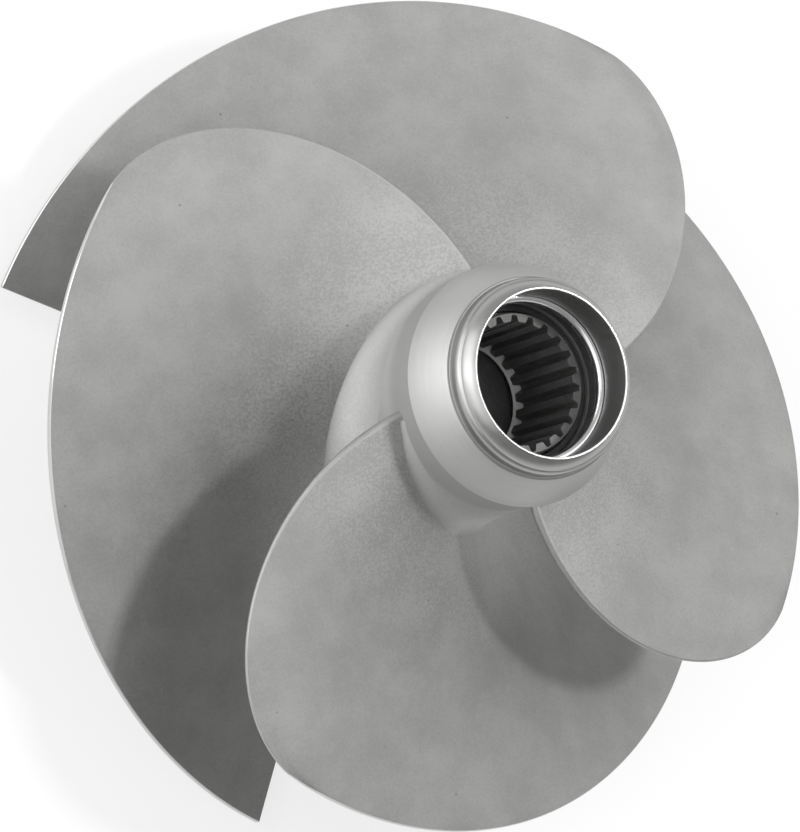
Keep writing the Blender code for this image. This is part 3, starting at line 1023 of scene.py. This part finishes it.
@dataclass
class Nose:
    """Turned nose with its polished rim and bored socket, ring, shaft seal and spline.

    The points of the rim are millimetres out and up from the bead's radius at the height where the
    barrel ends, and those of the lip from the bore's edge at the top.
    """

    sizes: Sizes
    barrel_arch: float = 0.25 * MM
    barrel_steps: int = 24
    base_round: float = 0.12 * MM
    collar_sides: int = 256
    rim_wall: float = 2.9 * MM
    rim_len: float = 4.9 * MM
    barrel_end: Pair = (0.55, -0.5)
    rim_step: Points = ((0.48, -0.42), (0.08, -0.32), (0.0, -0.20))
    rim_bead: tuple[Pair, Pair] = ((0.0, 0.95), (-0.55, 2.45))
    bead_arch: float = 0.16 * MM
    bead_steps: int = 10
    rim_crease: Points = ((-0.66, 2.52), (-0.74, 2.66))
    cone_foot: Pair = (-0.80, 2.85)
    cone_arch: float = 0.14 * MM
    cone_steps: int = 8
    lip: Points = ((0.48, -0.10), (0.36, 0.0), (0.20, 0.0), (0.05, -0.06), (0.0, -0.22))
    teeth: int = 23
    tooth_steps: int = 24
    tooth_gap: float = 0.10
    tooth_flank: float = 0.19
    crest_from: float = 0.9
    tooth_chamfer: float = 0.12 * MM
    phase: float = math.radians(1.3)
    minor_r: float = 11.4 * MM
    major_r: float = 12.7 * MM
    ledge_r: float = 10.9 * MM
    run_out_z: float = 44.7 * MM
    run_out_slope: float = math.tan(math.radians(20.0))
    boss_r: float = 13.5 * MM
    boss_taper: float = 0.10 * MM
    boss_bevel: float = 0.45 * MM
    boss_bevel_len: float = 1.3 * MM
    boss_break: float = 0.05 * MM
    trench_depth: float = 4.0 * MM
    seal_len: float = 1.6 * MM
    seal_round: float = 0.4 * MM
    wire_r: float = 1.2 * MM
    wire_end: float = 0.6
    ring_steps: int = 200
    ring_rise: float = 3.1 * MM
    ring_sink: float = 0.1 * MM
    ring_opening: float = math.radians(28.0)
    ring_middle: float = math.radians(185.0)

    @property
    def ring_z(self) -> float:
        """Height of the retaining ring's middle."""
        return self.sizes.z_spline + self.ring_rise

    @property
    def ring_r(self) -> float:
        """Radius of the retaining ring's middle line."""
        return self.sizes.bore_r + self.ring_sink

    @property
    def groove_r(self) -> float:
        """Radius of the floor of the retaining ring's groove."""
        return self.ring_r + self.wire_r + self.sizes.gap

    @property
    def trench_z(self) -> float:
        """Floor of the trench round the spline's boss."""
        return self.sizes.z_spline - self.trench_depth

    @property
    def rim(self) -> Pair:
        """Radius of the bead under the rim, and height at which the barrel ends."""
        return self.sizes.bore_r + self.rim_wall, self.sizes.z_top - self.rim_len

    def build(self) -> None:
        """Make every piece of the nose."""
        self._dress_collar(self._collar())
        self._seal()
        self._ring()
        self._spline()

    def _collar(self) -> Piece:
        """Turned outline of the collar.

        It goes up the arched barrel, over the step, the straight neck, the bead, the crease and the
        cone to the lip of the mouth, and down the bore past the ring's groove.

        Returns:
            The collar.
        """
        s = self.sizes
        base = s.z_hub_top + s.gap
        groove_top = self.ring_z + self.wire_r + s.gap
        groove_end = self.ring_z - self.wire_r - s.gap
        barrel_end, cone_foot = beside(self.rim, (self.barrel_end, self.cone_foot))
        lip = beside((s.bore_r, s.z_top), self.lip)
        barrel = arched((s.root_r, base + self.base_round), barrel_end, self.barrel_arch,
                        self.barrel_steps)
        bead = arched(*beside(self.rim, self.rim_bead), self.bead_arch, self.bead_steps)
        cone = arched(cone_foot, lip[0], self.cone_arch, self.cone_steps)
        inside = [(s.bore_r, groove_top), (self.groove_r, groove_top), (self.groove_r, groove_end),
                  (s.bore_r, groove_end), (s.bore_r, base), (s.root_r - self.base_round, base)]
        outline = (barrel + beside(self.rim, self.rim_step) + bead + beside(self.rim, self.rim_crease)
                   + cone + lip[1:] + inside)
        return turn_profile("nose_barrel", outline, TURNED, "nose_collar", steps=self.collar_sides)

    def _dress_collar(self, collar: Piece) -> None:
        """Polish what is above the foot of the step, and give the socket and mouth the bored finish.

        Args:
            collar: The collar.
        """
        radius, height = face_places(collar)
        step_foot = beside(self.rim, self.rim_step)[0][1]
        mouth_r = self.sizes.bore_r + self.lip[1][0] * MM
        socket = (radius < self.groove_r) & (height < self.ring_z + 2.0 * self.wire_r)
        bored = socket | (radius < mouth_r)
        dress(collar, np.where(bored, 2, np.where(height > step_foot, 1, 0)), POLISHED, BORED)

    def _seal(self) -> None:
        """Rubber seal with soft edges in the trench."""
        s = self.sizes
        low = self.trench_z + s.gap
        high = low + self.seal_len
        inner = self.boss_r + s.gap
        outline = [(s.socket_r, low), (s.socket_r, high), (inner, high), (inner, low)]
        turn_profile("rubber_shaft_seal", soften(outline, self.seal_round, steps=4), RUBBER,
                     "shaft_seal")

    def _ring(self) -> None:
        """Round wire bent to an open ring: a circle carried along an arc, thinner at its two ends."""
        first = self.ring_middle + 0.5 * self.ring_opening
        rows = self.ring_steps + 1
        turn = np.linspace(first, first + FULL_TURN - self.ring_opening, rows)[:, None]
        wire = np.full((rows, 1), self.wire_r)
        wire[[0, -1]] *= self.wire_end
        angle = np.linspace(0.0, FULL_TURN, WIRE_SIDES, endpoint=False)[None, :]
        points = around(self.ring_r + wire * np.cos(angle), turn, self.ring_z + wire * np.sin(angle))
        quads = grid_faces(rows, WIRE_SIDES, False)[:, ::-1]
        end = np.arange(WIRE_SIDES)
        caps = [end, (rows - 1) * WIRE_SIDES + end[::-1]]
        add_piece("wire_retaining_ring", points, quads, WIRE, "retaining_ring", caps=caps)

    def _spline(self) -> None:
        """Sleeve whose bore follows the teeth, with a boss at its mouth and a ledge at its end.

        At each angle the section is one closed outline. Its bore has the radius major - depth times
        a smoothed trapezoid of the angle, opened by a small chamfer at the mouth. At the lower end it
        runs out on a shallow cone that falls towards the ledge. The crests, the cone and the boss's
        outer wall with its bevel get a painted highlight, brighter than the grey of the gaps.
        """
        s = self.sizes
        count = self.teeth * self.tooth_steps
        share = np.arange(count)[:, None] / self.tooth_steps
        angle = self.phase + FULL_TURN * share / self.teeth
        from_gap = np.abs((share + 0.5) % 1.0 - 0.5)
        tooth = smooth_step((from_gap - self.tooth_gap) / self.tooth_flank)
        bore = self.major_r - (self.major_r - self.minor_r) * tooth
        cone = self.run_out_z - (self.major_r - bore) * self.run_out_slope
        ledge = self.run_out_z - (self.major_r - self.ledge_r) * self.run_out_slope
        top = s.z_spline
        bevel_r = self.boss_r - self.boss_bevel
        section = [(s.socket_r, s.z_spline_end),
                   (s.socket_r, self.trench_z),
                   (self.boss_r, self.trench_z),
                   (self.boss_r - self.boss_taper, top - self.boss_bevel_len),
                   (bevel_r, top - self.boss_break),
                   (bevel_r - self.boss_break, top),
                   (bore + self.tooth_chamfer, top),
                   (bore, top - self.tooth_chamfer),
                   (bore, cone),
                   (self.ledge_r, ledge),
                   (self.ledge_r, s.z_spline_end)]
        # Painted-highlight stretches of the section, by the number of the corner at which each begins
        boss_wall, boss_bevel, tooth_wall, tooth_ends = 2, 3, 7, 8
        corners = len(section)
        radius, height = [np.concatenate([np.broadcast_to(v, bore.shape) for v in values], axis=1)
                          for values in zip(*section)]
        sleeve = add_piece("spline_socket", around(radius, angle, height),
                           grid_faces(count, corners, True)[:, ::-1], SPLINE, "spline_sleeve")
        column = np.tile(np.arange(corners), count)
        on_crest = np.repeat(tooth[:, 0] > self.crest_from, corners)
        bright = np.isin(column, (boss_wall, boss_bevel, tooth_ends))
        # Crests, run-out cone and boss get the painted highlight
        dress(sleeve, bright | ((column == tooth_wall) & on_crest), SPLINE_HIGHLIGHT)


@dataclass(frozen=True)
class Lamp:
    """Square lamp that faces the object from a direction in camera axes: right, up, to the camera."""

    name: str
    way: Triple
    side: float
    watts: float


# A small key at the right for the shade of one blade on the next, and four large soft panels
LAMPS = (Lamp("key", (0.80, 0.18, 0.58), side=0.16, watts=7.0),
         Lamp("right panel", (0.71, 0.52, 0.47), side=1.0, watts=4.2),
         Lamp("front panel", (-0.30, -0.10, 0.95), side=1.4, watts=5.8),
         Lamp("left panel", (-0.72, 0.42, 0.55), side=1.2, watts=8.6),
         Lamp("low left panel", (-0.77, -0.02, 0.64), side=1.2, watts=4.2))


@dataclass
class Studio:
    """Camera at the photograph's angle, pale floor and soft light."""

    azimuth: float = math.radians(-174.906)
    elevation: float = math.radians(60.416)
    roll: float = math.radians(71.906)
    distance: float = 859.8 * MM
    lens_mm: float = 201.86
    sensor_mm: float = 36.0
    clip: Pair = (0.05, 20.0)
    offset: Pair = (18.90 * MM, 4.97 * MM)
    target: Triple = (0.0, 0.0, 59.4 * MM)
    lamp_target: Triple = (0.0, 0.0, 40.0 * MM)
    lamp_distance: float = 1.4
    room_above: float = 0.58
    room_below: float = 0.31
    room_band: float = 0.7
    floor_half: float = 3.0
    floor_drop: float = 0.1 * MM
    paper_fibre_mm: float = 2.5
    paper_glow: float = 0.7
    axes: Matrix = field(default_factory=Matrix)

    def build(self) -> None:
        """Set up the camera, floor, lamps and world."""
        self._camera()
        self._floor()
        for lamp in LAMPS:
            self._hang(lamp)
        self._world()
        bpy.context.scene.view_settings.view_transform = "Standard"

    def _camera(self) -> None:
        """Place the camera: level axes at that azimuth and elevation, then turned by the roll."""
        to = Vector((math.cos(self.elevation) * math.cos(self.azimuth),
                     math.cos(self.elevation) * math.sin(self.azimuth), math.sin(self.elevation)))
        level = Vector((-math.sin(self.azimuth), math.cos(self.azimuth), 0.0))
        right = level * math.cos(self.roll) + to.cross(level) * math.sin(self.roll)
        up = to.cross(right)
        place = Vector(self.target) + to * self.distance - right * self.offset[0] - up * self.offset[1]
        self.axes = Matrix((right, up, to)).transposed()
        data = bpy.data.cameras.new("photo camera")
        data.lens = self.lens_mm
        data.sensor_width = self.sensor_mm
        data.clip_start, data.clip_end = self.clip
        camera = put_in_scene("photo camera", data)
        camera.matrix_world = Matrix.Translation(place) @ self.axes.to_4x4()
        bpy.context.scene.camera = camera

    def _floor(self) -> None:
        """Flat pale sheet: nearly white to the camera and in the steel, with the object's shade.

        From under the floor it is clear, so that the rear side can be looked at.
        """
        half = self.floor_half
        corners = [(x, y, -self.floor_drop) for x, y in ((-half, -half), (half, -half), (half, half),
                                                         (-half, half))]
        mesh = bpy.data.meshes.new("pale floor")
        mesh.from_pydata(corners, [], [(0, 1, 2, 3)])
        made = bpy.data.materials.new("white studio paper")
        tree = blank_tree(made)
        place = add_node(tree, "TexCoord", out="Object")
        fibre = add_node(tree, "TexNoise", {"Scale": PER_METRE / self.paper_fibre_mm},
                         {"Vector": place})
        tint = add_node(tree, "Mix", {"data_type": "RGBA", MIX_FIRST: linear("#f8f8f8"),
                                      MIX_SECOND: linear("#fcfcfc")}, {0: fibre}, MIX_RESULT)
        paper = add_node(tree, "BsdfDiffuse", None, {"Color": tint})
        glow = add_node(tree, "Emission", {"Color": linear("#ffffff"), "Strength": 1.0})
        share = add_node(tree, "Math", {"operation": "MULTIPLY", 1: self.paper_glow},
                         {0: self._seen(tree)})
        both = add_node(tree, "MixShader", None, {0: share, 1: paper, 2: glow})
        under = add_node(tree, "NewGeometry", out="Backfacing")
        clear = add_node(tree, "BsdfTransparent")
        sheet = add_node(tree, "MixShader", None, {0: under, 1: both, 2: clear})
        add_node(tree, "OutputMaterial", None, {"Surface": sheet})
        mesh.materials.append(made)
        put_in_scene("pale_floor", mesh)

    def _seen(self, tree: Tree) -> Socket:
        """One for what the camera sees, directly or in the steel, and zero for other light.

        Args:
            tree: The tree that gets the nodes.

        Returns:
            The switch.
        """
        path = add_node(tree, "LightPath").node.outputs
        glossy = add_node(tree, "Math", {"operation": "MAXIMUM"},
                          {0: path["Is Glossy Ray"], 1: path["Is Transmission Ray"]})
        return add_node(tree, "Math", {"operation": "MAXIMUM"},
                        {0: path["Is Camera Ray"], 1: glossy})

    def _hang(self, lamp: Lamp) -> None:
        """Hang one lamp.

        Args:
            lamp: The lamp.
        """
        data = bpy.data.lights.new(lamp.name, "AREA")
        data.shape = "SQUARE"
        data.size = lamp.side
        data.energy = lamp.watts
        direction = (self.axes @ Vector(lamp.way)).normalized()
        place = Vector(self.lamp_target) + direction * self.lamp_distance
        facing = direction.to_track_quat("Z", "Y").to_matrix().to_4x4()
        put_in_scene(lamp.name, data).matrix_world = Matrix.Translation(place) @ facing

    def _world(self) -> None:
        """White room that is darker on the side under the picture than on the side over it."""
        world = bpy.data.worlds.new("white room")
        bpy.context.scene.world = world
        tree = blank_tree(world)
        way = add_node(tree, "TexCoord", out="Generated")
        side = add_node(tree, "VectorMath", {"operation": "DOT_PRODUCT", 1: tuple(self.axes.col[1])},
                        {0: way}, "Value")
        level = add_node(tree, "MapRange",
                         {"From Min": -self.room_band, "From Max": self.room_band,
                          "To Min": self.room_below, "To Max": self.room_above}, {"Value": side})
        room = add_node(tree, "Background", {"Color": linear("#ffffff")},
                        {"Strength": level})
        add_node(tree, "OutputWorld", None, {"Surface": room})


def main() -> None:
    """Build the impeller and the studio."""
    sizes = Sizes()
    Hub(sizes).build()
    Nose(sizes).build()
    for number in range(BLADES):
        Blade(sizes, number + 1, FULL_TURN / BLADES * number).build()
    Studio().build()


if __name__ == "__main__":
    main()
